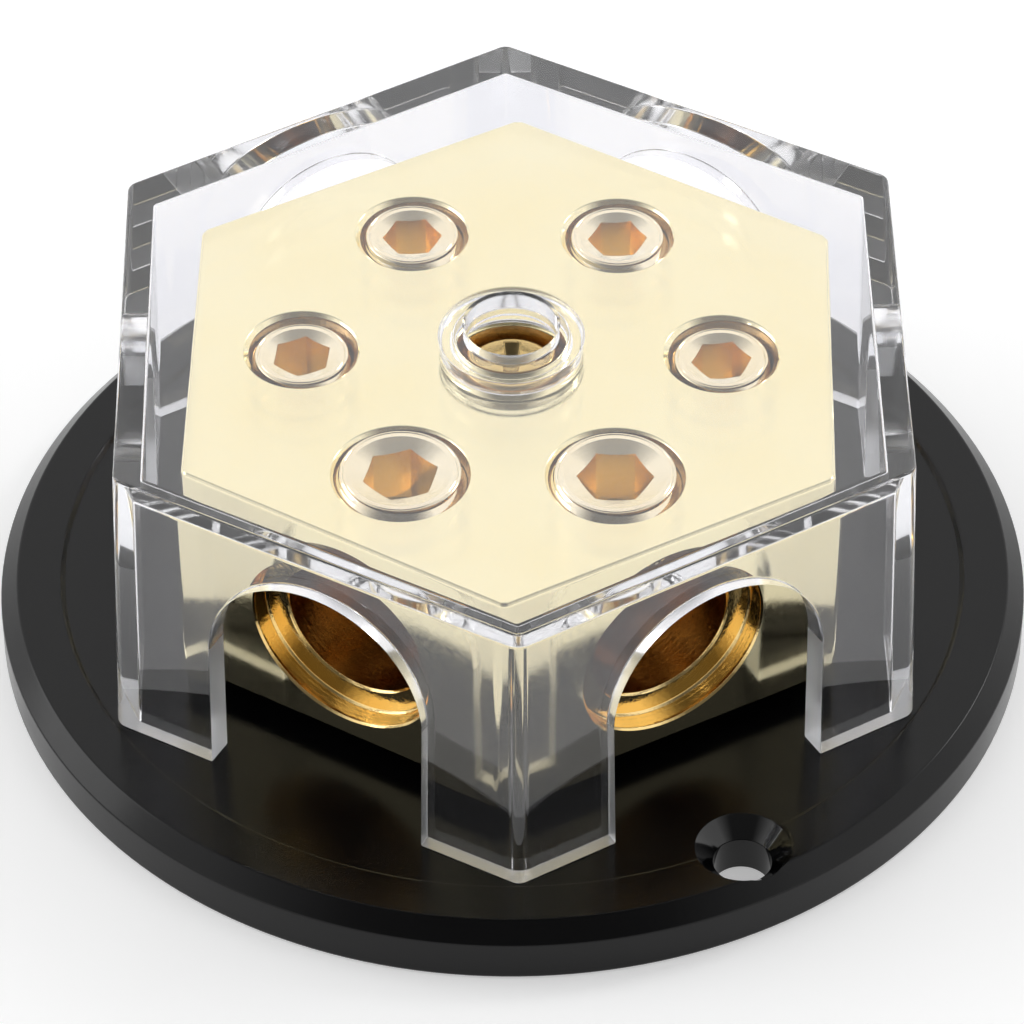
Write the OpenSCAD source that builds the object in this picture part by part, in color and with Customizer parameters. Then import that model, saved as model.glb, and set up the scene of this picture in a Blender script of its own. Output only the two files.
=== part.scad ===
// Six-way power distribution block.
// A hexagonal brass block on a round black base takes two heavy cables at the front
// and four lighter ones round the back, each held by a set screw. A clear cover with
// an arch over each cable drops over the block.
// Millimetres. The origin is at the middle of the base's underside, with +Z up.

/* [Base] */
// Diameter of the round base
base_d = 80; // [79.6:0.1:84]
// Height of the base at its flat top ring
base_h = 4.9; // [4.6:0.1:6]
// Width of the bevel round the base's top edge
base_bevel = 1.35; // [0.6:0.05:1.6]
// Diameter of the shallow seat that the cover stands in
seat_d = 69.9; // [69.7:0.1:70.5]
// Depth of that seat
seat_depth = 0.35; // [0.2:0.05:0.6]
// Distance between the two mounting holes
mount_pitch = 70.8; // [70:0.1:72]
// Diameter of each mounting hole
mount_hole_d = 4.4; // [4:0.1:5]
// Diameter of the countersink over each mounting hole
mount_sink_d = 7.2; // [6.8:0.1:7.6]

/* [Block] */
// Distance across the flats of the hexagonal block
block_af = 48.5; // [48:0.1:49]
// Height of the hexagonal block
block_h = 18.9; // [18.7:0.05:19.1]
// Height of the round foot under it, which lifts it off the base
block_foot_h = 1.75; // [1.5:0.05:2]
// Diameter of that foot
block_foot_d = 36; // [30:1:40]
// Height of the cable ports' axes above the hexagon's underside
port_rise = 9.7; // [9.55:0.05:9.85]
// Diameters of the bores for the two heavy cables and for the four light ones
port_bore_d = [12, 8.4]; // [8:0.1:12]
// Diameters of the counterbores that take the cable jackets, heavy and light
port_mouth_d = [15.8, 12.4]; // [12:0.1:16]
// Radius of the circle that the set screws stand on
screw_circle_r = 15.9; // [15.7:0.1:16.1]

/* [Set screws] */
// Thread diameters of the two heavy set screws and of the four light ones
screw_d = [10, 8]; // [7.8:0.1:10]
// Lengths of the set screws, heavy and light
screw_len = [6.4, 6]; // [5.5:0.1:6.5]
// Hexagon sockets across flats, heavy and light
socket_af = [5, 4]; // [4:0.5:5]

/* [Cover] */
// Height of the cover's top face above the base's underside
cover_top = 29.3; // [29.2:0.1:30]
// Distance from the axis to the cover's outer corner at its foot
cover_foot_r = 34.9; // [34.8:0.05:34.95]
// Thickness of the cover's side walls
cover_wall = 2.3; // [2:0.1:2.5]
// Thickness of the cover's top plate
cover_plate = 2.4; // [2:0.1:2.5]
// Slope of the outside walls, in degrees
cover_draft = 1.8; // [1:0.1:2]
// Width of the arch over each cable
arch_w = 18.1; // [18:0.1:18.6]
// Diameter of the hole over the block's screw
cover_hole_d = 7; // [6.8:0.1:7.4]
// Turn of the cover on its round seat, as it was dropped on, in degrees
cover_turn = 1.9; // [0:0.1:2]

/* [Hidden] */
$fn = 96;

// Colours
black_plastic = [0.09, 0.09, 0.095];
gold_plate = [0.86, 0.70, 0.40];
plain_brass = [0.74, 0.60, 0.30];
clear_plastic = [0.85, 0.90, 0.95, 0.35];

// Clearances: between loose pieces, of a thread in its hole, and of an inlaid piece
gap = 0.15;
thread_gap = 0.07;
inlay_gap = 0.04;
// Overlap that lets a cutter run past the face that it opens
past = 1;

// Base
base_r = base_d / 2;
bevel_h = base_bevel + 0.05;
foot_edge = 0.4;
seat_r = seat_d / 2;
seat_slope = 0.3;
seat_z = base_h - seat_depth;
// The mounting holes stand in line with two opposite corners of the row of ports
mount_angles = [120, 300];
sink_lip = 0.4;

// Threaded insert in the middle of the base
insert_r = 3.2;
insert_flange_r = 4.3;
insert_flange_h = 0.9;
insert_sunk = 0.2;

// Block
block_z = seat_z + block_foot_h;
block_top = block_z + block_h;
block_apothem = block_af / 2;
block_corner_r = block_apothem / cos(30);
block_corner_cut = 0.2;
block_edge = 0.35;
block_foot_edge = 0.3;
port_z = block_z + port_rise;
port_lip = 0.35;
port_mouth_depth = 1.7;
port_floor_slope = 0.4;
// Each bore ends in the cone that a drill leaves, this far from the axis
port_tip_r = 8.9;
drill_half_angle = 59;
// Directions of the six ports: the two heavy ones face the front
port_angles = [240, 300, 0, 60, 120, 180];
function is_light(i) = i < 2 ? 0 : 1;
tap_lip = [0.2, 0.45];

// Screw in the middle of the block
head_r = 3.4;
head_h = 2.4;
head_round = 0.9;
head_sunk = 0.2;
head_well_r = 4.05;
head_well_lip = 0.3;
shank_r = 2;
shank_hole_r = 2.2;
shank_len = 20;
cross_w = 1.1;
cross_len = 4.8;
cross_deep = 1.9;
head_seat_z = block_top - head_sunk - head_h;

// Set screws: how far each stands over the block's top, and how its socket is turned
screw_proud = [0.2, 0.2, -0.45, -0.1, -0.1, -0.45];
socket_turn = [17, 0, 8, 4, 5, 25];
rim_r = [4.45, 3.45];
rim_w = [0.65, 0.45];
dish_h = [0.8, 0.5];
socket_depth = 3.6;
point_bevel = 0.9;

// Cover
cover_corner_round = 1.3;
cover_edge_round = 1;
cover_inner_round = 0.8;
collar_r = 5.2;
collar_wall = 0.85;
collar_end_z = block_top + gap;
plate_z = cover_top - cover_plate;
arch_reach = 16;
post_fn = 32;
// A wall's slope moves its corners out by more than its flats
function cover_corner(z) = cover_foot_r - (z - seat_z) * tan(cover_draft) / cos(30);
function cover_inner_corner(z) = cover_corner(z) - cover_wall / cos(30);

module ring_of_six() {
    for (i = [0 : 5]) rotate(60 * i) children();
}

// Revolved solid about Z from a closed list of [radius, height] points
module turned(points) {
    rotate_extrude() polygon(points);
}

module mounting_hole() {
    hole_r = mount_hole_d / 2;
    sink_r = mount_sink_d / 2;
    cone_top = base_h - sink_lip;
    turned([
        [0, -past],
        [hole_r, -past],
        [hole_r, cone_top - (sink_r - hole_r)],
        [sink_r, cone_top],
        [sink_r, base_h + past],
        [0, base_h + past]
    ]);
}

module base() {
    color(black_plastic)
    difference() {
        turned([
            [0, 0],
            [base_r - foot_edge, 0],
            [base_r, foot_edge],
            [base_r, base_h - bevel_h],
            [base_r - base_bevel, base_h],
            [seat_r + seat_slope, base_h],
            [seat_r, seat_z],
            [0, seat_z]
        ]);
        for (a = mount_angles) rotate(a) translate([mount_pitch / 2, 0, 0]) mounting_hole();
        translate([0, 0, -past]) cylinder(r = insert_r + inlay_gap, h = base_h + past);
        translate([0, 0, -past])
            cylinder(r = insert_flange_r + inlay_gap, h = past + insert_sunk + insert_flange_h);
    }
}

// Flanged threaded insert that the block's screw pulls up against the base
module base_insert() {
    flange_top = insert_sunk + insert_flange_h;
    color(plain_brass)
    turned([
        [shank_r + thread_gap, insert_sunk],
        [insert_flange_r, insert_sunk],
        [insert_flange_r, flange_top],
        [insert_r, flange_top],
        [insert_r, seat_z],
        [shank_r + thread_gap, seat_z]
    ]);
}

// Hexagonal bar with its upright edges turned off and its top edge chamfered
module block_blank() {
    chamfer = block_edge * sqrt(2);
    difference() {
        intersection() {
            rotate(30) cylinder(r = block_corner_r, h = block_h, $fn = 6);
            cylinder(r = block_corner_r - block_corner_cut, h = block_h);
        }
        ring_of_six() translate([block_apothem, 0, block_h]) rotate([0, 45, 0])
            cube([chamfer, 2 * block_af, chamfer], center = true);
    }
}

// Round foot that stands on the base's seat
module block_foot() {
    r = block_foot_d / 2;
    turned([
        [0, seat_z],
        [r - block_foot_edge, seat_z],
        [r, seat_z + block_foot_edge],
        [r, block_z + 0.1],
        [0, block_z + 0.1]
    ]);
}

// Cable port along +Z, with the block's axis at the origin
module port(light) {
    bore_r = port_bore_d[light] / 2;
    mouth_r = port_mouth_d[light] / 2;
    floor_d = block_apothem - port_mouth_depth;
    turned([
        [0, port_tip_r],
        [bore_r, port_tip_r + bore_r / tan(drill_half_angle)],
        [bore_r, floor_d - port_floor_slope],
        [mouth_r, floor_d],
        [mouth_r, block_apothem - port_lip],
        [mouth_r + port_lip, block_apothem],
        [mouth_r + port_lip, block_apothem + past],
        [0, block_apothem + past]
    ]);
}

// Tapped hole from the block's top down to the axis of the port below it
module tapped_hole(light) {
    hole_r = screw_d[light] / 2;
    lip = tap_lip[light];
    turned([
        [0, port_z],
        [hole_r, port_z],
        [hole_r, block_top - lip],
        [hole_r + lip, block_top],
        [hole_r + lip, block_top + past],
        [0, block_top + past]
    ]);
}

module head_well() {
    turned([
        [0, seat_z - past],
        [shank_hole_r, seat_z - past],
        [shank_hole_r, head_seat_z],
        [head_well_r, head_seat_z],
        [head_well_r, block_top - head_well_lip],
        [head_well_r + head_well_lip, block_top],
        [head_well_r + head_well_lip, block_top + past],
        [0, block_top + past]
    ]);
}

module block() {
    color(gold_plate)
    difference() {
        union() {
            translate([0, 0, block_z]) block_blank();
            block_foot();
        }
        for (i = [0 : 5]) rotate(port_angles[i]) {
            translate([0, 0, port_z]) rotate([0, 90, 0]) port(is_light(i));
            translate([screw_circle_r, 0, 0]) tapped_hole(is_light(i));
        }
        head_well();
    }
}

// Pan-head screw with a cross recess, through the block into the insert
module block_screw() {
    head_top = head_seat_z + head_h;
    color(gold_plate)
    difference() {
        union() {
            translate([0, 0, head_seat_z - shank_len]) cylinder(r = shank_r, h = shank_len + 0.1);
            translate([0, 0, head_seat_z]) rotate_extrude() intersection() {
                square([head_r, head_h]);
                union() {
                    square([head_r - head_round, head_h]);
                    square([head_r, head_h - head_round]);
                    translate([head_r - head_round, head_h - head_round]) circle(head_round);
                }
            }
        }
        translate([0, 0, head_top - cross_deep]) intersection() {
            union() {
                translate([-cross_len / 2, -cross_w / 2, 0]) cube([cross_len, cross_w, cross_deep + past]);
                translate([-cross_w / 2, -cross_len / 2, 0]) cube([cross_w, cross_len, cross_deep + past]);
            }
            cylinder(r1 = cross_w / 2, r2 = cross_len / 2, h = cross_deep + 0.01);
        }
    }
}

// Set screw number i, counted from the front left port round to the left one
module set_screw(i) {
    k = i - 1;
    light = is_light(k);
    r = screw_d[light] / 2 - thread_gap;
    rim = rim_r[light];
    top = block_top + screw_proud[k];
    low = top - screw_len[light];
    color(gold_plate)
    rotate(port_angles[k]) translate([screw_circle_r, 0, 0])
    difference() {
        turned([
            [0, low],
            [r - point_bevel, low],
            [r, low + point_bevel],
            [r, top - (r - rim)],
            [rim, top],
            [rim - rim_w[light], top],
            [rim - rim_w[light] - dish_h[light], top - dish_h[light]],
            [0, top - dish_h[light]]
        ]);
        translate([0, 0, top - socket_depth]) rotate(socket_turn[k] - port_angles[k])
            cylinder(r = socket_af[light] / 2 / cos(30), h = socket_depth, $fn = 6);
    }
}

// One round post in a corner of the cover's outer form, with its top edge rounded
module outer_post() {
    r = cover_corner_round;
    inset = r / cos(30);
    bend_z = cover_top - cover_edge_round;
    translate([cover_corner(seat_z) - inset, 0, seat_z]) cylinder(r = r, h = 0.01, $fn = post_fn);
    translate([cover_corner(bend_z) - inset, 0, bend_z])
        rotate_extrude($fn = post_fn) translate([r - cover_edge_round, 0]) intersection() {
            circle(cover_edge_round, $fn = 24);
            square(cover_edge_round);
        }
}

module inner_post() {
    r = cover_inner_round;
    inset = r / cos(30);
    low = seat_z - past;
    translate([cover_inner_corner(low) - inset, 0, low]) cylinder(r = r, h = 0.01, $fn = post_fn);
    translate([cover_inner_corner(plate_z) - inset, 0, plate_z - 0.01])
        cylinder(r = r, h = 0.01, $fn = post_fn);
}

module arch() {
    translate([arch_reach, 0, port_z]) rotate([0, 90, 0]) cylinder(r = arch_w / 2, h = arch_reach + 8);
    translate([arch_reach, -arch_w / 2, seat_z - past]) cube([arch_reach + 8, arch_w, port_z - seat_z + past]);
}

module cover() {
    color(clear_plastic)
    rotate(cover_turn)
    difference() {
        union() {
            difference() {
                hull() ring_of_six() rotate(30) outer_post();
                hull() ring_of_six() rotate(30) inner_post();
                ring_of_six() arch();
            }
            // Collar under the plate that stands just over the block
            translate([0, 0, collar_end_z]) cylinder(r = collar_r, h = plate_z - collar_end_z + 0.1);
        }
        translate([0, 0, collar_end_z - past])
            cylinder(r = collar_r - collar_wall, h = plate_z - collar_end_z + past);
        translate([0, 0, plate_z - past]) cylinder(d = cover_hole_d, h = cover_plate + 2 * past);
    }
}

base();
base_insert();
block();
block_screw();
for (i = [1 : 6]) set_screw(i);
cover();
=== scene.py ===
# %% [markdown]
# # A six-way power distribution block under a clear cover
# The real object has a turned black base, a gold-plated brass block with six cable ports, a set
# screw over each port and a clear moulded cover. The lesson builds the looks of each piece round
# a fixed frame, which already has every piece at its true place and size.

# %% Load the frame and list its pieces
import math

import bpy
from mathutils import Matrix, Vector


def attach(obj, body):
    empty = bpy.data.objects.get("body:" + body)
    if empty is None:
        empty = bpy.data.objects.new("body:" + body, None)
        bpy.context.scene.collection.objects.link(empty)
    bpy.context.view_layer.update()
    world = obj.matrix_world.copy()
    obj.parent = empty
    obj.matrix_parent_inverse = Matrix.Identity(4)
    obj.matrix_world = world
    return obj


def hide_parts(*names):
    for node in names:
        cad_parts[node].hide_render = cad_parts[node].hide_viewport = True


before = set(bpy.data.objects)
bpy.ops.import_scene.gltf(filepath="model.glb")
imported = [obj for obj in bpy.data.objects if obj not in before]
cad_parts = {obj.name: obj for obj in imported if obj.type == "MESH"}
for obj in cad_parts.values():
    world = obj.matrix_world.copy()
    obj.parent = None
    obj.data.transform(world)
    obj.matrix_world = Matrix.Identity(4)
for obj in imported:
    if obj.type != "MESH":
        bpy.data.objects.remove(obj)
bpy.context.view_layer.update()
bpy.ops.object.select_all(action="DESELECT")
MM = 0.001
print("pieces in the frame:", sorted(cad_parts))

# %% [markdown]
# ## Colours and nodes
# Colours are read off as the hex values that a paint program shows. Blender's shaders want linear
# light, so one function does the change. One more adds a node with its settings and its links.

# %% Helpers for colours and shader nodes


def colour(hex_value):
    """Linear colour of a hex value such as 'c8a050', with an alpha of one."""
    parts = [int(hex_value[i : i + 2], 16) / 255 for i in (0, 2, 4)]
    return [p / 12.92 if p <= 0.04045 else ((p + 0.055) / 1.055) ** 2.4 for p in parts] + [1.0]


def add(tree, kind, inputs=None, **settings):
    """A new node. Each input is a plain value, or an output socket to link."""
    node = tree.nodes.new(kind)
    for name, value in settings.items():
        setattr(node, name, value)
    for name, value in (inputs or {}).items():
        if isinstance(value, bpy.types.NodeSocket):
            tree.links.new(value, node.inputs[name])
        else:
            node.inputs[name].default_value = value
    return node


def new_material(name):
    """An empty material with its output node."""
    material = bpy.data.materials.new(name)
    material.use_nodes = True
    material.node_tree.nodes.clear()
    return material, material.node_tree, add(material.node_tree, "ShaderNodeOutputMaterial")


def finish_with(piece, *materials):
    """Gives a piece these materials in its slots."""
    piece.data.materials.clear()
    for material in materials:
        piece.data.materials.append(material)


# %% [markdown]
# ## Camera
# The camera has the photograph's viewing angle, looking down at the block through a long lens. Its
# place, turn and tilt were solved from points measured in the photograph.

# %% Camera
PHOTO = 1024
FOCAL_PX = 5773.96
camera_data = bpy.data.cameras.new("camera")
camera = bpy.data.objects.new("camera", camera_data)
bpy.context.scene.collection.objects.link(camera)
bpy.context.scene.camera = camera
camera_data.sensor_width = 36
camera_data.lens = FOCAL_PX / PHOTO * camera_data.sensor_width
look_at = Vector((0, 0, 9.4)) * MM
camera_turn = math.radians(1.26)
camera_down = 0.7455
camera_roll = -0.00465
camera_distance = 448.5 * MM
flat = camera_distance * math.cos(camera_down)
camera.location = look_at + Vector(
    (flat * math.sin(camera_turn), -flat * math.cos(camera_turn), camera_distance * math.sin(camera_down))
)
camera.rotation_euler = (
    Matrix.Rotation(camera_turn, 4, "Z")
    @ Matrix.Rotation(math.pi / 2 - camera_down, 4, "X")
    @ Matrix.Rotation(camera_roll, 4, "Z")
).to_euler()
camera_data.shift_x = -0.19 / PHOTO
camera_data.shift_y = 5.02 / PHOTO
camera_data.clip_end = 10

# %% [markdown]
# ## Finishes
# The real block is brass under a thin gold plate: bright where it was polished, and ragged in the
# drilled ports, where the tool left rings. In the ports, the tapped holes, the well and the screws'
# sockets the plate has a deeper colour, which is painted shade. The base is black ABS, and the cover
# clear polystyrene that is glassy where the mould touched it and frosted where it was milled or
# sawn. Each finish gets its grain from noise at the size of the real marks, read from Object
# coordinates in metres.

# %% Gold plate


def metal(name, hex_light, hex_dark, roughness, grain_mm, grain_depth, rings=None):
    """Plated metal with a fine grain, faint patches and, if asked for, tool rings."""
    material, tree, out = new_material(name)
    where = add(tree, "ShaderNodeTexCoord").outputs["Object"]
    patches = add(tree, "ShaderNodeTexNoise", {"Vector": where, "Scale": 1 / 0.009, "Detail": 3.0})
    grain = add(tree, "ShaderNodeTexNoise", {"Vector": where, "Scale": 1 / (grain_mm * MM), "Detail": 4.0})
    tint = add(tree, "ShaderNodeMapRange", {"Value": patches.outputs[0], "From Min": 0.3, "From Max": 0.7})
    paint = add(
        tree, "ShaderNodeMix",
        {0: tint.outputs[0], 6: colour(hex_light), 7: colour(hex_dark)}, data_type="RGBA",
    )
    rough = add(
        tree, "ShaderNodeMapRange",
        {"Value": grain.outputs[0], "From Min": 0.35, "From Max": 0.65,
         "To Min": roughness * 0.8, "To Max": roughness * 1.25},
    )
    height = grain.outputs[0]
    if rings:
        height = rings(tree, where, height)
    bump = add(tree, "ShaderNodeBump", {"Height": height, "Distance": grain_depth * MM, "Strength": 1.0})
    shader = add(
        tree, "ShaderNodeBsdfPrincipled",
        {"Base Color": paint.outputs[2], "Metallic": 1.0, "Roughness": rough.outputs[0], "Normal": bump.outputs[0]},
    )
    tree.links.new(shader.outputs[0], out.inputs[0])
    return material


def port_rings(tree, where, grain):
    """Rings round each port: the distance out from the block's axis, measured square to its flats."""
    out_from_axis = None
    for angle in (0, 60, 120):
        way = (math.cos(math.radians(angle)), math.sin(math.radians(angle)), 0)
        along = add(tree, "ShaderNodeVectorMath", {0: where, 1: way}, operation="DOT_PRODUCT")
        along = add(tree, "ShaderNodeMath", {0: along.outputs["Value"]}, operation="ABSOLUTE")
        if out_from_axis:
            along = add(
                tree, "ShaderNodeMath",
                {0: out_from_axis.outputs[0], 1: along.outputs[0]}, operation="MAXIMUM",
            )
        out_from_axis = along
    ring = add(
        tree, "ShaderNodeTexNoise",
        {"W": out_from_axis.outputs[0], "Scale": 1 / 0.00035, "Detail": 3.0}, noise_dimensions="1D",
    )
    tear = add(tree, "ShaderNodeTexNoise", {"Vector": where, "Scale": 1 / 0.0011, "Detail": 6.0, "Distortion": 0.6})
    torn = add(tree, "ShaderNodeMath", {0: tear.outputs[0], 1: 1.2}, operation="MULTIPLY")
    both = add(tree, "ShaderNodeMath", {0: ring.outputs[0], 1: torn.outputs[0]}, operation="ADD")
    return add(tree, "ShaderNodeMath", {0: both.outputs[0], 1: grain}, operation="ADD").outputs[0]


# Polished plate: bright, with a grain that only shows in the reflections
gold = metal("gold_plate_polished", "fdf2c8", "fcefc0", 0.1, 0.5, 0.0012)
# Plate over drilled brass, dull and ringed by the tool. Its brown base colour is painted shade for the dark inside of
# the bores, the tapped holes and the well
bore_gold_painted_shade = metal("gold_plate_over_drilled_brass_painted_shade", "caa878", "ab8a58", 0.2, 0.3, 0.022, port_rings)
# Plate over a counterbore, which a flat cutter left bright and finely ringed
mouth_gold = metal("gold_plate_over_counterbored_brass", "f8dfa4", "f0cb80", 0.09, 0.3, 0.012, port_rings)
# Plate in the broached sockets, where a rough floor scatters the light. Its tone, deeper than the screws' plate, is
# painted shade for the inside of the sockets
socket_gold_painted_shade = metal("gold_plate_in_sockets_painted_shade", "f4e0ac", "e8cf90", 0.18, 0.2, 0.001)
# Plate on the middle screw, in a deeper and duller tone than on the block
head_gold = metal("gold_plate_on_pan_head", "e6cc92", "d4b474", 0.16, 0.25, 0.002)
# Plate on the screws, which came out of a barrel a little brighter and finer
screw_gold = metal("gold_plate_on_screws", "fbf0d4", "f7e8c4", 0.08, 0.25, 0.003)
# Bare brass of the threaded insert
brass = metal("machined_brass", "d9b46a", "cfa75c", 0.25, 0.2, 0.004)

# %% Black plastic


def black_plastic(name, gloss, roughness):
    """Black ABS, moulded in a turned mould, so its top has fine rings round the middle."""
    material, tree, out = new_material(name)
    where = add(tree, "ShaderNodeTexCoord").outputs["Object"]
    flat_way = add(tree, "ShaderNodeVectorMath", {0: where, 1: (1, 1, 0)}, operation="MULTIPLY")
    radius = add(tree, "ShaderNodeVectorMath", {0: flat_way.outputs[0]}, operation="LENGTH")
    ring = add(
        tree, "ShaderNodeTexNoise",
        {"W": radius.outputs["Value"], "Scale": 1 / 0.0004, "Detail": 4.0}, noise_dimensions="1D",
    )
    haze = add(tree, "ShaderNodeTexNoise", {"Vector": where, "Scale": 1 / 0.006, "Detail": 5.0})
    rough = add(
        tree, "ShaderNodeMapRange",
        {"Value": haze.outputs[0], "From Min": 0.3, "From Max": 0.7, "To Min": roughness, "To Max": roughness * 1.5},
    )
    grain = add(tree, "ShaderNodeTexNoise", {"Vector": where, "Scale": 1 / 0.00025, "Detail": 3.0})
    height = add(tree, "ShaderNodeMath", {0: ring.outputs[0], 1: grain.outputs[0]}, operation="ADD")
    bump = add(tree, "ShaderNodeBump", {"Height": height.outputs[0], "Distance": 0.0012 * MM, "Strength": 1.0})
    shader = add(
        tree, "ShaderNodeBsdfPrincipled",
        {"Base Color": colour("070708"), "Roughness": rough.outputs[0], "IOR": 1.53,
         "Specular IOR Level": gloss, "Normal": bump.outputs[0]},
    )
    tree.links.new(shader.outputs[0], out.inputs[0])
    return material


# Moulded faces are a little dull, so they stay dark under a white sky
black = black_plastic("black_abs_moulded", 0.24, 0.17)
# The countersinks were cut, and a sharp cutter leaves a gloss
cut_black = black_plastic("black_abs_countersunk", 0.5, 0.07)

# %% Clear plastic


def clear_plastic(name, roughness, clearness, hex_value, height_of, depth_mm):
    """Clear polystyrene. Light is let straight through to what lies under it."""
    material, tree, out = new_material(name)
    where = add(tree, "ShaderNodeTexCoord").outputs["Object"]
    bump = add(tree, "ShaderNodeBump", {"Height": height_of(tree, where), "Distance": depth_mm * MM, "Strength": 1.0})
    shader = add(
        tree, "ShaderNodeBsdfPrincipled",
        {"Base Color": colour(hex_value), "Roughness": roughness, "IOR": 1.56, "Transmission Weight": clearness,
         "Normal": bump.outputs[0]},
    )
    through = add(tree, "ShaderNodeBsdfTransparent", {"Color": colour("eeeeee")})
    path = add(tree, "ShaderNodeLightPath")
    mix = add(
        tree, "ShaderNodeMixShader",
        {0: path.outputs["Is Shadow Ray"], 1: shader.outputs[0], 2: through.outputs[0]},
    )
    tree.links.new(mix.outputs[0], out.inputs[0])
    return material


def mould_waves(tree, where):
    """The slow waves of a moulded wall, drawn out along the way it left the mould."""
    squeeze = add(tree, "ShaderNodeMapping", {"Vector": where, "Scale": (1, 1, 0.2)})
    waves = add(tree, "ShaderNodeTexNoise", {"Vector": squeeze.outputs[0], "Scale": 1 / 0.005, "Detail": 1.0})
    return waves.outputs[0]


def saw_marks(tree, where):
    """Upright streaks that a saw or a cutter leaves, a quarter of a millimetre apart."""
    squeeze = add(tree, "ShaderNodeMapping", {"Vector": where, "Scale": (1, 1, 0.08)})
    marks = add(tree, "ShaderNodeTexNoise", {"Vector": squeeze.outputs[0], "Scale": 1 / 0.00025, "Detail": 4.0})
    return marks.outputs[0]


# Moulded faces: a trace of haze turns the light that is trapped in the edges a soft grey
clear = clear_plastic("clear_polystyrene_moulded", 0.015, 0.99, "fafafd", mould_waves, 0.002)
# Milled faces: the cutter left them almost clear, with a faint frost
milled = clear_plastic("clear_polystyrene_milled", 0.1, 0.97, "f0f1f6", saw_marks, 0.002)
# Sawn faces: frosted and grey, with deeper streaks
sawn =clear_plastic("clear_polystyrene_sawn", 0.38, 0.9, "c4c6ca", saw_marks, 0.02)

# %% [markdown]
# ## Modelling helpers
# Most pieces here were turned, moulded or drilled, so three moves make nearly all of them. An
# outline is drawn point by point and spun into a turned piece or pushed into a bar, and one piece is
# then cut out of another, as a drill or a mould core would do it. Working in millimetres keeps the
# numbers readable, and each move is the same operator that a hand would click.

# %% Select, draw and round


def pick(piece, kind, test):
    """Selects the points, edges or faces that pass the test, and nothing else, in edit mode."""
    bpy.ops.object.mode_set(mode="OBJECT")
    mesh = piece.data
    for group in (mesh.vertices, mesh.edges, mesh.polygons):
        group.foreach_set("select", [False] * len(group))
    chosen = [part for part in getattr(mesh, kind) if test(part)]
    for part in chosen:
        part.select = True
    bpy.context.tool_settings.mesh_select_mode = [kind == k for k in ("vertices", "edges", "polygons")]
    bpy.ops.object.mode_set(mode="EDIT")


# Steps in the arc that rounds a corner of an outline
ARC_STEPS = 4


def rounded(points, closed=False):
    """An outline of [x, y, radius] corners as plain points, with an arc at each radius."""
    line = []
    for i, (x, y, *radius) in enumerate(points):
        corner = Vector((x, y))
        between = 0 < i < len(points) - 1 or closed
        if not radius or not between:
            line.append(corner)
            continue
        before = (Vector(points[i - 1][:2]) - corner).normalized()
        after = (Vector(points[(i + 1) % len(points)][:2]) - corner).normalized()
        half = before.angle(after) / 2
        middle = corner + (before + after).normalized() * radius[0] / math.sin(half)
        start = corner + before * radius[0] / math.tan(half) - middle
        turn = start.angle_signed(corner + after * radius[0] / math.tan(half) - middle)
        line += [middle + Matrix.Rotation(-turn * k / ARC_STEPS, 2) @ start for k in range(ARC_STEPS + 1)]
    return line


def draw(name, points, finish):
    """Draws a line of edges through points in mm, and stays in edit mode with all of it selected."""
    bpy.ops.mesh.primitive_plane_add(size=MM)
    piece = bpy.context.object
    piece.name = piece.data.name = name
    finish_with(piece, finish)
    bpy.ops.object.mode_set(mode="EDIT")
    bpy.context.tool_settings.mesh_select_mode = (True, False, False)
    bpy.ops.mesh.select_all(action="SELECT")
    bpy.ops.mesh.merge(type="CENTER")
    bpy.ops.transform.translate(value=Vector(points[0]) * MM)
    for start, end in zip(points, points[1:]):
        bpy.ops.mesh.extrude_vertices_move(TRANSFORM_OT_translate={"value": (Vector(end) - Vector(start)) * MM})
    bpy.ops.mesh.select_all(action="SELECT")
    return piece


def close_up():
    """Merges doubled points and turns every face outwards, then leaves edit mode."""
    bpy.ops.mesh.select_all(action="SELECT")
    bpy.ops.mesh.remove_doubles(threshold=0.0004 * MM)
    bpy.ops.mesh.normals_make_consistent(inside=False)
    bpy.ops.object.mode_set(mode="OBJECT")


# %% Turned pieces, bars and threads


def turned(name, outline, finish, steps=96):
    """A piece turned round Z from [radius, height, corner radius] points."""
    piece = draw(name, [(p.x, 0, p.y) for p in rounded(outline)], finish)
    bpy.ops.mesh.spin(steps=steps, angle=math.tau, center=(0, 0, 0), axis=(0, 0, 1))
    close_up()
    return piece


def bar(name, outline, start, end, finish):
    """A bar along X whose cross-section is a closed outline of [y, z, corner radius] points."""
    piece = draw(name, [(start, p.x, p.y) for p in rounded(outline, closed=True)], finish)
    bpy.ops.mesh.edge_face_add()
    bpy.ops.mesh.extrude_region_move(TRANSFORM_OT_translate={"value": ((end - start) * MM, 0, 0)})
    close_up()
    return piece


def threaded_rod(name, radius, pitch, depth, low, high, finish):
    """A rod with a real helical thread, cut off flat at both ends."""
    root, flat_part = radius - depth, pitch / 8
    tooth = [(root, 0), (root, flat_part), (radius, pitch / 2 - flat_part / 2),
             (radius, pitch / 2 + flat_part / 2), (root, pitch - flat_part), (root, pitch)]
    piece = draw(name, [(r, 0, high + pitch + z) for r, z in tooth], finish)
    turns = math.ceil((high - low) / pitch) + 3
    bpy.ops.mesh.screw(steps=48, turns=turns, center=(0, 0, 0), axis=(0, 0, 1))
    bpy.ops.mesh.select_all(action="SELECT")
    bpy.ops.mesh.remove_doubles(threshold=0.0004 * MM)
    for height, below in ((low, True), (high, False)):
        bpy.ops.mesh.select_all(action="SELECT")
        bpy.ops.mesh.bisect(
            plane_co=(0, 0, height * MM), plane_no=(0, 0, 1), use_fill=True, clear_inner=below,
            clear_outer=not below, threshold=1e-8
        )
    close_up()
    return piece


# %% Move, cut and finish


def place(piece, matrix):
    """Moves a piece's mesh, so that the object itself stays at the origin."""
    piece.data.transform(matrix)
    piece.data.update()
    return piece


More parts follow.
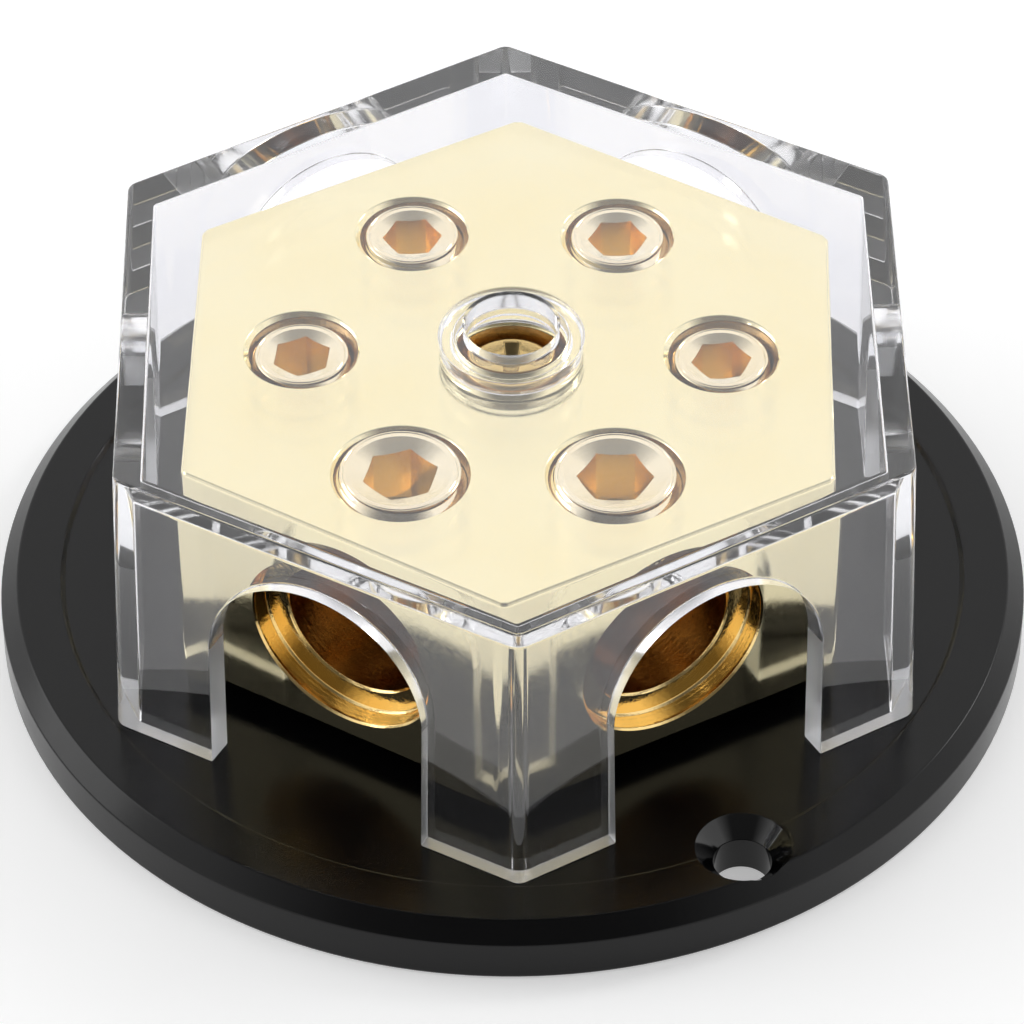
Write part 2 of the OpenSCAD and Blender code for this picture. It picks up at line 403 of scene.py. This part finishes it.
def use_modifier(piece, kind, **settings):
    """Adds a modifier and applies it at once."""
    bpy.ops.object.select_all(action="DESELECT")
    bpy.context.view_layer.objects.active = piece
    piece.select_set(True)
    bpy.ops.object.modifier_add(type=kind)
    modifier = piece.modifiers[-1]
    for name, value in settings.items():
        setattr(modifier, name, value)
    bpy.ops.object.modifier_apply(modifier=modifier.name)


def combine(piece, operation, *tools):
    """Joins a piece with its tools, cuts them out of it, or keeps what they share."""
    for tool in tools:
        use_modifier(piece, "BOOLEAN", object=tool, operation=operation, solver="EXACT", material_mode="TRANSFER")
        bpy.data.objects.remove(tool)
    return piece


def soften(piece, width, segments, angle):
    """Rounds every edge sharper than the angle."""
    use_modifier(
        piece, "BEVEL", width=width * MM, segments=segments, limit_method="ANGLE",
        angle_limit=math.radians(angle), use_clamp_overlap=True, miter_outer="MITER_ARC",
    )


def smooth(piece, angle=35):
    """Smooth shading that keeps flat faces flat."""
    bpy.ops.object.select_all(action="DESELECT")
    bpy.context.view_layer.objects.active = piece
    piece.select_set(True)
    bpy.ops.object.shade_smooth_by_angle(angle=math.radians(angle))
    use_modifier(piece, "WEIGHTED_NORMAL", keep_sharp=True, weight=90)


def hexagon(name, corner_radius, low, high, finish, top_radius=None):
    """A hexagonal bar with a corner at the back, tapered if it has a top radius of its own."""
    bpy.ops.mesh.primitive_cylinder_add(
        vertices=6, radius=corner_radius * MM, depth=(high - low) * MM, location=(0, 0, (low + high) / 2 * MM)
    )
    piece = bpy.context.object
    piece.name = piece.data.name = name
    finish_with(piece, finish)
    bpy.ops.object.transform_apply(location=True, rotation=True, scale=True)
    if top_radius:
        pick(piece, "vertices", lambda v: v.co.z > (low + high) / 2 * MM)
        ratio = top_radius / corner_radius
        bpy.ops.transform.resize(value=(ratio, ratio, 1))
        bpy.ops.object.mode_set(mode="OBJECT")
    return piece


# %% [markdown]
# ## The base
# The real base is a moulded disc with a bevelled top edge, a shallow round seat that keeps the cover
# from sliding, and two countersunk holes. It could be a scaled cylinder, but the fine light lines
# along its edges come from small radii, so its section is drawn with them and turned.

# %% Base
BASE_R, BASE_H, SEAT_R, SEAT_Z = 40, 4.9, 34.95, 4.55
INSERT_R, FLANGE_R, FLANGE_Z = 3.24, 4.34, 1.1
base = turned("round_base", [
    [FLANGE_R, 0], [BASE_R, 0, 0.4], [BASE_R, BASE_H - 1.4, 0.3], [BASE_R - 1.35, BASE_H, 0.3],
    [SEAT_R + 0.3, BASE_H, 0.3], [SEAT_R, SEAT_Z, 0.08], [INSERT_R, SEAT_Z], [INSERT_R, FLANGE_Z],
    [FLANGE_R, FLANGE_Z], [FLANGE_R, 0],
], black, steps=192)
HOLE_R, SINK_R, SINK_Z, HOLE_PITCH_R = 2.2, 3.6, BASE_H - 0.4, 35.4
for angle in (120, 300):
    sink = turned("countersink", [
        [0, -1], [HOLE_R + 1.2, -1], [HOLE_R, 0.2], [HOLE_R, SINK_Z - SINK_R + HOLE_R, 0.12], [SINK_R, SINK_Z, 0.1],
        [SINK_R, BASE_H - 0.15], [SINK_R + 0.3, BASE_H + 0.15], [SINK_R + 0.3, 6], [0, 6],
    ], cut_black)
    place(sink, Matrix.Rotation(math.radians(angle), 4, "Z") @ Matrix.Translation((HOLE_PITCH_R * MM, 0, 0)))
    combine(base, "DIFFERENCE", sink)
smooth(base)
print("base:", len(base.data.polygons), "faces")

# %% [markdown]
# ## The block
# It is a length of hexagonal brass bar: faced, its corners turned back a little, drilled from each
# side, and tapped from above into each drilling. Cutting it in that order gives the edges that a
# machinist gets, such as the ragged rims where a tapped hole breaks into a port.

# %% Hexagonal bar
BLOCK_FLAT, BLOCK_LOW, BLOCK_TOP, PORT_Z = 24.25, 6.3, 25.2, 16.0
CORNER_R = BLOCK_FLAT / math.cos(math.radians(30))
TURNED_R = CORNER_R - 0.2
block = hexagon("hexagonal_block", CORNER_R, BLOCK_LOW, BLOCK_TOP, gold)
combine(block, "INTERSECT", turned("turned_corners", [
    [0, BLOCK_LOW - 1], [TURNED_R, BLOCK_LOW - 1], [TURNED_R, BLOCK_TOP + 1], [0, BLOCK_TOP + 1],
], gold, steps=192))
soften(block, 0.33, segments=3, angle=40)
FOOT_R = 18
combine(block, "UNION", turned("block_foot", [
    [0, SEAT_Z], [FOOT_R, SEAT_Z, 0.3], [FOOT_R, BLOCK_LOW + 0.1], [0, BLOCK_LOW + 0.1],
], gold))

# %% Cable ports and tapped holes
PORT_ANGLES = [240, 300, 0, 60, 120, 180]
# The first two ports are heavy (0) and the others light (1), and every pair of sizes is in that order
PORT_SIZES = [0, 0, 1, 1, 1, 1]
PORT_BORE_R, PORT_MOUTH_R = [6.0, 4.2], [7.9, 6.2]
MOUTH_DEPTH, PORT_TIP, DRILL_HALF = 1.7, 8.9, math.radians(59)
SCREW_CIRCLE, SCREW_R, PITCH = 15.9, [5.0, 4.0], [1.5, 1.25]
HOLE_THREAD, HOLE_LIP = [0.34, 0.3], [0.3, 0.5]


def port_tool(size):
    """The drill and the counterbore of one port, pointing out along Z."""
    bore, mouth, floor = PORT_BORE_R[size], PORT_MOUTH_R[size], BLOCK_FLAT - MOUTH_DEPTH
    # The drilled part gets the darker plate, whose brown is painted shade; the counterbore gets the bright plate
    tool = turned("port_tool", [
        [0, PORT_TIP], [bore, PORT_TIP + bore / math.tan(DRILL_HALF)], [bore, floor - 0.3, 0.1],
        [bore + 0.15, floor - 0.1], [mouth - 0.15, floor, 0.1], [mouth, floor + 0.2, 0.1],
        [mouth, BLOCK_FLAT - 0.15, 0.1], [mouth + 0.35, BLOCK_FLAT + 0.2], [mouth + 0.35, 26], [0, 26],
    ], bore_gold_painted_shade)
    tool.data.materials.append(mouth_gold)
    for face in tool.data.polygons:
        face.material_index = int(face.center.z > (floor - 0.3) * MM)
    return tool


def tap_tool(size):
    """The tap of one screw hole: a cylinder with its thread outside, and the lead-in cone."""
    radius, thread, lip = SCREW_R[size], HOLE_THREAD[size], HOLE_LIP[size]
    # The thread of the hole gets the darker plate, whose brown is painted shade
    tool = threaded_rod("tap_tool", radius + thread, PITCH[size], thread, PORT_Z + 0.13, BLOCK_TOP + 0.4, bore_gold_painted_shade)
    cone = turned("lead_in", [
        [0, BLOCK_TOP - 1.5], [radius - 0.2, BLOCK_TOP - 0.2 - lip], [radius + lip - 0.1, BLOCK_TOP - 0.08, 0.1],
        [radius + lip + 0.1, BLOCK_TOP + 0.05], [radius + lip + 0.1, BLOCK_TOP + 1], [0, BLOCK_TOP + 1],
    ], gold)
    return combine(tool, "UNION", cone)


for angle, size in zip(PORT_ANGLES, PORT_SIZES):
    around = Matrix.Rotation(math.radians(angle), 4, "Z")
    aim = around @ Matrix.Translation((0, 0, PORT_Z * MM)) @ Matrix.Rotation(math.pi / 2, 4, "Y")
    over_port = Matrix.Translation(around @ Vector((SCREW_CIRCLE * MM, 0, 0)))
    combine(block, "DIFFERENCE", place(port_tool(size), aim))
    combine(block, "DIFFERENCE", place(tap_tool(size), over_port))

# %% Well for the middle screw
HEAD_SEAT, WELL_R, SHANK_HOLE_R = 22.6, 4.05, 2.2
# The well gets the darker plate, whose brown is painted shade
combine(block, "DIFFERENCE", turned("well_tool", [
    [0, SEAT_Z - 1], [SHANK_HOLE_R, SEAT_Z - 1], [SHANK_HOLE_R, HEAD_SEAT], [WELL_R, HEAD_SEAT, 0.2],
    [WELL_R, BLOCK_TOP - 1.0, 0.1], [WELL_R + 0.42, BLOCK_TOP + 0.2],
    [WELL_R + 0.5, BLOCK_TOP + 1], [0, BLOCK_TOP + 1],
], bore_gold_painted_shade))
smooth(block)
print("block:", len(block.data.polygons), "faces")

# %% [markdown]
# ## The screws
# Each set screw is a threaded rod that was turned to a bead at the top, a cone inside it, and a bevel
# at its point, and then broached with a hexagon. One function makes all six, and each is turned and
# screwed in as far as the photograph shows.

# %% Set screws
SCREW_SLACK, SCREW_THREAD = 0.07, [0.55, 0.45]
SCREW_LENGTH, RIM_R, CONE_R, SOCKET_R = [6.4, 6.0], [4.5, 3.55], [3.85, 2.92], [5 / math.sqrt(3), 4 / math.sqrt(3)]
CONE_DEEP, SOCKET_DEEP = [0.5, 0.34], [4.8, 4.2]
PROUD = [0.2, 0.2, -0.45, -0.1, -0.1, -0.45]
SOCKET_TURN = [17, 0, 8, 4, 5, 25]


def set_screw(name, size, turn):
    """A set screw with its top at Z = 0."""
    radius, rim, cone, length = SCREW_R[size] - SCREW_SLACK, RIM_R[size], CONE_R[size], SCREW_LENGTH[size]
    screw = threaded_rod(name, radius, PITCH[size], SCREW_THREAD[size], -length - 1, 1, screw_gold)
    deep, socket_end = CONE_DEEP[size], -SOCKET_DEEP[size]
    combine(screw, "INTERSECT", turned("screw_form", [
        [0, -length], [radius - 0.9, -length, 0.2], [radius + 0.1, 0.1 - length + 0.9 - 0.1],
        [radius + 0.1, -0.75], [rim + 0.12, -0.35, 0.1], [rim, -0.02, 0.16], [rim - 0.17, 0],
        [rim - 0.24, -0.05, 0.03], [rim - 0.31, 0], [cone, 0, 0.1], [SOCKET_R[size] * 0.8, -deep], [0, -deep],
    ], screw_gold))
    socket = SOCKET_R[size]
    # The socket's walls and floor get the deeper plate, whose tone is painted shade
    hollow = hexagon("socket", socket, socket_end, 1, socket_gold_painted_shade)
    combine(hollow, "UNION", turned(
        "drill_point", [[0, socket_end - 0.35], [socket * 0.84, socket_end], [0, socket_end + 0.2]], socket_gold_painted_shade
    ))
    place(hollow, Matrix.Rotation(math.radians(turn - 30), 4, "Z"))
    combine(screw, "DIFFERENCE", hollow)
    return screw


set_screws = []
for i, (angle, size, proud, turn) in enumerate(zip(PORT_ANGLES, PORT_SIZES, PROUD, SOCKET_TURN), 1):
    screw = set_screw(f"set_screw_piece_{i}", size, turn)
    centre = Matrix.Rotation(math.radians(angle), 4, "Z") @ Vector((SCREW_CIRCLE, 0, BLOCK_TOP + proud))
    place(screw, Matrix.Translation(centre * MM))
    smooth(screw)
    set_screws.append(screw)
print("set screw:", len(set_screws[0].data.polygons), "faces")

# %% Middle screw
HEAD_R, HEAD_H, SHANK_R, SHANK_END = 3.5, 2.4, 2.0, 2.6
HEAD_TOP = HEAD_SEAT + HEAD_H
block_screw = turned("pan_head_screw", [
    [0, SHANK_END], [SHANK_R, SHANK_END, 0.3], [SHANK_R, HEAD_SEAT], [HEAD_R, HEAD_SEAT, 0.15],
    [HEAD_R, HEAD_TOP, 0.5], [0, HEAD_TOP],
], head_gold)
CROSS_DEEP, CROSS_REACH = 1.9, 3.4
# Half the width of an arm of the cross, at its floor and above the head
ARM_LOW, ARM_TOP = 0.45, 0.65
recess_low, recess_top = HEAD_TOP - CROSS_DEEP, HEAD_TOP + 0.4
recess, crossing = (
    bar(name, [
        [-ARM_LOW, recess_low], [ARM_LOW, recess_low], [ARM_TOP, recess_top], [-ARM_TOP, recess_top],
    ], -CROSS_REACH, CROSS_REACH, head_gold)
    for name in ("recess_arm", "recess_other")
)
place(crossing, Matrix.Rotation(math.pi / 2, 4, "Z"))
combine(recess, "UNION", crossing)
combine(recess, "INTERSECT", turned("recess_cone", [
    [0, recess_low - 0.3], [0.6, recess_low], [3.2, recess_top], [0, recess_top],
], head_gold))
combine(block_screw, "DIFFERENCE", recess)
soften(block_screw, 0.07, segments=2, angle=40)
smooth(block_screw)

# %% [markdown]
# ## The cover
# The cover is one moulding of clear polystyrene: six sloping walls, a flat plate, a collar under the
# plate that stands just over the block, and an arch over each cable. Glassy plastic shows its edges
# more than its faces, so every edge gets the radius that the mould had. The arches are milled round the
# top and sawn at the sides, and the feet are sawn, so those faces have finishes of their own.

# %% Cover
COVER_TOP, COVER_FOOT_R, WALL, PLATE_Z, DRAFT = 29.3, 34.9, 2.3, 26.9, math.radians(1.8)
# The cover stands turned by this many degrees on its round seat
COVER_TURN = 1.9
COS_30 = math.cos(math.radians(30))
CORNER_ROUND, EDGE_ROUND, INNER_ROUND, INNER_EDGE = 1.0, 0.25, 0.4, 0.25
# The core of the mould leans less than its cavity, so the wall thins towards the top
WALL_TOP = 2.0


def cover_corner(height):
    """How far out the cover's corners are at a height, before they are rounded."""
    return COVER_FOOT_R - (height - SEAT_Z) * math.tan(DRAFT) / COS_30


def is_upright(edge, piece):
    """True for an edge that climbs the whole height of a hexagonal bar."""
    a, b = (piece.data.vertices[i].co for i in edge.vertices)
    return abs(a.z - b.z) > 10 * MM


def round_corners(piece, upright, top, top_z):
    """Rounds the six upright corners of a hexagonal bar, and then its top edge."""
    pick(piece, "edges", lambda e: is_upright(e, piece))
    bpy.ops.mesh.bevel(offset=upright * math.tan(math.radians(30)) * MM, segments=6, affect="EDGES")
    pick(piece, "edges", lambda e: all(piece.data.vertices[i].co.z > (top_z - 0.01) * MM for i in e.vertices))
    bpy.ops.mesh.bevel(offset=top * MM, segments=3, affect="EDGES")
    close_up()


low = SEAT_Z - 1
cover = hexagon("clear_cover", cover_corner(low), low, COVER_TOP, clear, cover_corner(COVER_TOP))
round_corners(cover, CORNER_ROUND, EDGE_ROUND, COVER_TOP)
inside = hexagon(
    "inside", cover_corner(low - 1) - WALL / COS_30, low - 1, PLATE_Z, clear,
    cover_corner(PLATE_Z) - WALL_TOP / COS_30,
)
round_corners(inside, INNER_ROUND, INNER_EDGE, PLATE_Z)
combine(cover, "DIFFERENCE", inside)

# %% Collar and hole
COLLAR_R, COLLAR_WALL, COLLAR_END, COVER_HOLE_R = 5.5, 1.0, BLOCK_TOP + 0.15, 3.5
collar_bore_r = COLLAR_R - COLLAR_WALL
combine(cover, "UNION", turned("collar", [
    [0, COLLAR_END], [COLLAR_R, COLLAR_END, 0.4], [COLLAR_R - 0.1, PLATE_Z + 0.02, 0.25],
    [COLLAR_R + 0.5, PLATE_Z + 0.02], [COLLAR_R + 0.5, PLATE_Z + 0.3], [0, PLATE_Z + 0.3],
], clear))
combine(cover, "DIFFERENCE", turned("collar_bore", [
    [0, COLLAR_END - 1], [collar_bore_r + 0.25, COLLAR_END - 1], [collar_bore_r + 0.25, COLLAR_END - 0.1],
    [collar_bore_r, COLLAR_END + 0.15], [collar_bore_r, PLATE_Z, 0.25], [0, PLATE_Z],
], clear))
combine(cover, "DIFFERENCE", turned("plate_hole", [
    [0, PLATE_Z - 0.5], [COVER_HOLE_R + 0.2, PLATE_Z - 0.5], [COVER_HOLE_R + 0.2, PLATE_Z - 0.05],
    [COVER_HOLE_R, PLATE_Z + 0.15, 0.1], [COVER_HOLE_R, COVER_TOP - 0.2, 0.1],
    [COVER_HOLE_R + 0.25, COVER_TOP + 0.05], [COVER_HOLE_R + 0.25, COVER_TOP + 1], [0, COVER_TOP + 1],
], milled))

# %% Arches and feet
ARCH_R, ARCH_STEPS = [9.05, 7.95], 64
# The cutters of the arches start inside the walls and end outside them
ARCH_FROM, ARCH_TO = 15, 45
# Below this height the sides of an arch are sawn
SAWN_BELOW = PORT_Z - 1
# The feet touch the seat only at high spots, so their faces stay a little above it
FOOT_Z = SEAT_Z + 0.03
# Half the size of the cutter that takes off the feet, which is wider than the cover
FEET_REACH = 50
for angle, size in zip(PORT_ANGLES, PORT_SIZES):
    radius = ARCH_R[size]
    crown = [math.pi * k / ARCH_STEPS for k in range(1, ARCH_STEPS)]
    arch = bar(
        "arch_cutter",
        [[-radius, 2], [radius, 2], [radius, PORT_Z]]
        + [[radius * math.cos(a), PORT_Z + radius * math.sin(a)] for a in crown]
        + [[-radius, PORT_Z]],
        ARCH_FROM, ARCH_TO, milled,
    )
    arch.data.materials.append(sawn)
    for face in arch.data.polygons:
        face.material_index = int(face.center.z < SAWN_BELOW * MM)
    place(arch, Matrix.Rotation(math.radians(angle), 4, "Z"))
    combine(cover, "DIFFERENCE", arch)
combine(cover, "DIFFERENCE", bar("foot_cutter", [
    [-FEET_REACH, 0], [FEET_REACH, 0], [FEET_REACH, FOOT_Z], [-FEET_REACH, FOOT_Z],
], -FEET_REACH, FEET_REACH, sawn))
soften(cover, 0.14, segments=2, angle=60)
place(cover, Matrix.Rotation(math.radians(COVER_TURN), 4, "Z"))
smooth(cover, 30)
print("cover:", len(cover.data.polygons), "faces")

# %% [markdown]
# ## Into the frame
# Each piece rides on one body of the frame, stands in for one of its nodes and has a slot for its
# finish. The threaded insert keeps the frame's own mesh.

# %% Give the pieces their places in the frame
bodies = [
    (base, "block_on_base", "base", "black_plastic"),
    (block, "block_on_base", "block", "gold_plate"),
    (block_screw, "block_on_base", "block_screw", "gold_plated_screw"),
    (cover, "cover", "cover", "clear_plastic"),
]
bodies += [(screw, f"set_screw_{i}", f"set_screw_{i}", "gold_plated_screw") for i, screw in enumerate(set_screws, 1)]
for piece, body, node, slot in bodies:
    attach(piece, body)
    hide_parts(node)
finish_with(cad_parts["base_insert"], brass)

# %% [markdown]
# ## Studio
# The photograph shows a white ground, a soft shadow and soft light. The floor here is white, and it
# glows a little where it is seen, mirrored or looked at through the cover. The sky is white all round,
# with a darker patch towards the camera and overhead, and two softboxes light the metal.

# %% Floor
bpy.ops.mesh.primitive_plane_add(size=6, location=(0, 0, 0))
floor = bpy.context.object
floor.name = "floor"
material, tree, out = new_material("white_floor")
path = add(tree, "ShaderNodeLightPath")
seen = path.outputs["Is Camera Ray"]
for ray in ("Is Glossy Ray", "Is Transmission Ray"):
    seen = add(tree, "ShaderNodeMath", {0: seen, 1: path.outputs[ray]}, operation="MAXIMUM").outputs[0]
paint = add(tree, "ShaderNodeBsdfDiffuse", {"Color": colour("e8e8e8")})
glow = add(tree, "ShaderNodeEmission", {"Color": (1, 1, 1, 1), "Strength": 0.4})
dark = add(tree, "ShaderNodeEmission", {"Color": (0, 0, 0, 1), "Strength": 0.0})
shown = add(tree, "ShaderNodeMixShader", {0: seen, 1: dark.outputs[0], 2: glow.outputs[0]})
both = add(tree, "ShaderNodeAddShader", {0: paint.outputs[0], 1: shown.outputs[0]})
tree.links.new(both.outputs[0], out.inputs[0])
finish_with(floor, material)

# %% World
world = bpy.data.worlds.new("studio")
bpy.context.scene.world = world
world.use_nodes = True
tree = world.node_tree
tree.nodes.clear()
TO_CAMERA = (0.0, -0.735, 0.678)
way = add(tree, "ShaderNodeTexCoord").outputs["Generated"]
front = add(tree, "ShaderNodeVectorMath", {0: way, 1: TO_CAMERA}, operation="DOT_PRODUCT")
dim = add(
    tree, "ShaderNodeMapRange",
    {"Value": front.outputs["Value"], "From Min": 0.6, "From Max": 0.9, "To Min": 1.12, "To Max": 0.15},
)
up = add(tree, "ShaderNodeSeparateXYZ", {0: way})
overhead = add(
    tree, "ShaderNodeMapRange",
    {"Value": up.outputs["Z"], "From Min": 0.75, "From Max": 0.95, "To Min": 1.0, "To Max": 0.3},
)
level = add(tree, "ShaderNodeMath", {0: dim.outputs[0], 1: overhead.outputs[0]}, operation="MULTIPLY")
sky = add(tree, "ShaderNodeBackground", {"Color": (1, 1, 1, 1), "Strength": level.outputs[0]})
add(tree, "ShaderNodeOutputWorld", {0: sky.outputs[0]})

# %% Lamps


def softbox(name, position, size, power):
    """A soft rectangular lamp that faces the block."""
    data = bpy.data.lights.new(name, "AREA")
    data.shape = "RECTANGLE"
    data.size, data.size_y = size
    data.energy = power
    lamp = bpy.data.objects.new(name, data)
    bpy.context.scene.collection.objects.link(lamp)
    lamp.location = position
    lamp.rotation_euler = (look_at - lamp.location).to_track_quat("-Z", "Y").to_euler()


softbox("left softbox", Vector((-0.62, 0.1, 0.3)), (0.4, 0.4), 1.0)
softbox("right softbox", Vector((0.48, 0.29, 0.43)), (0.15, 0.15), 0.6)

# %% Render settings that the looks need
scene = bpy.context.scene
scene.view_settings.view_transform = "Standard"
scene.cycles.max_bounces = 18
scene.cycles.transmission_bounces = 18
scene.cycles.glossy_bounces = 18
scene.cycles.caustics_reflective = False
scene.cycles.caustics_refractive = False
scene.cycles.adaptive_threshold = 0.1
scene.cycles.use_denoising = True
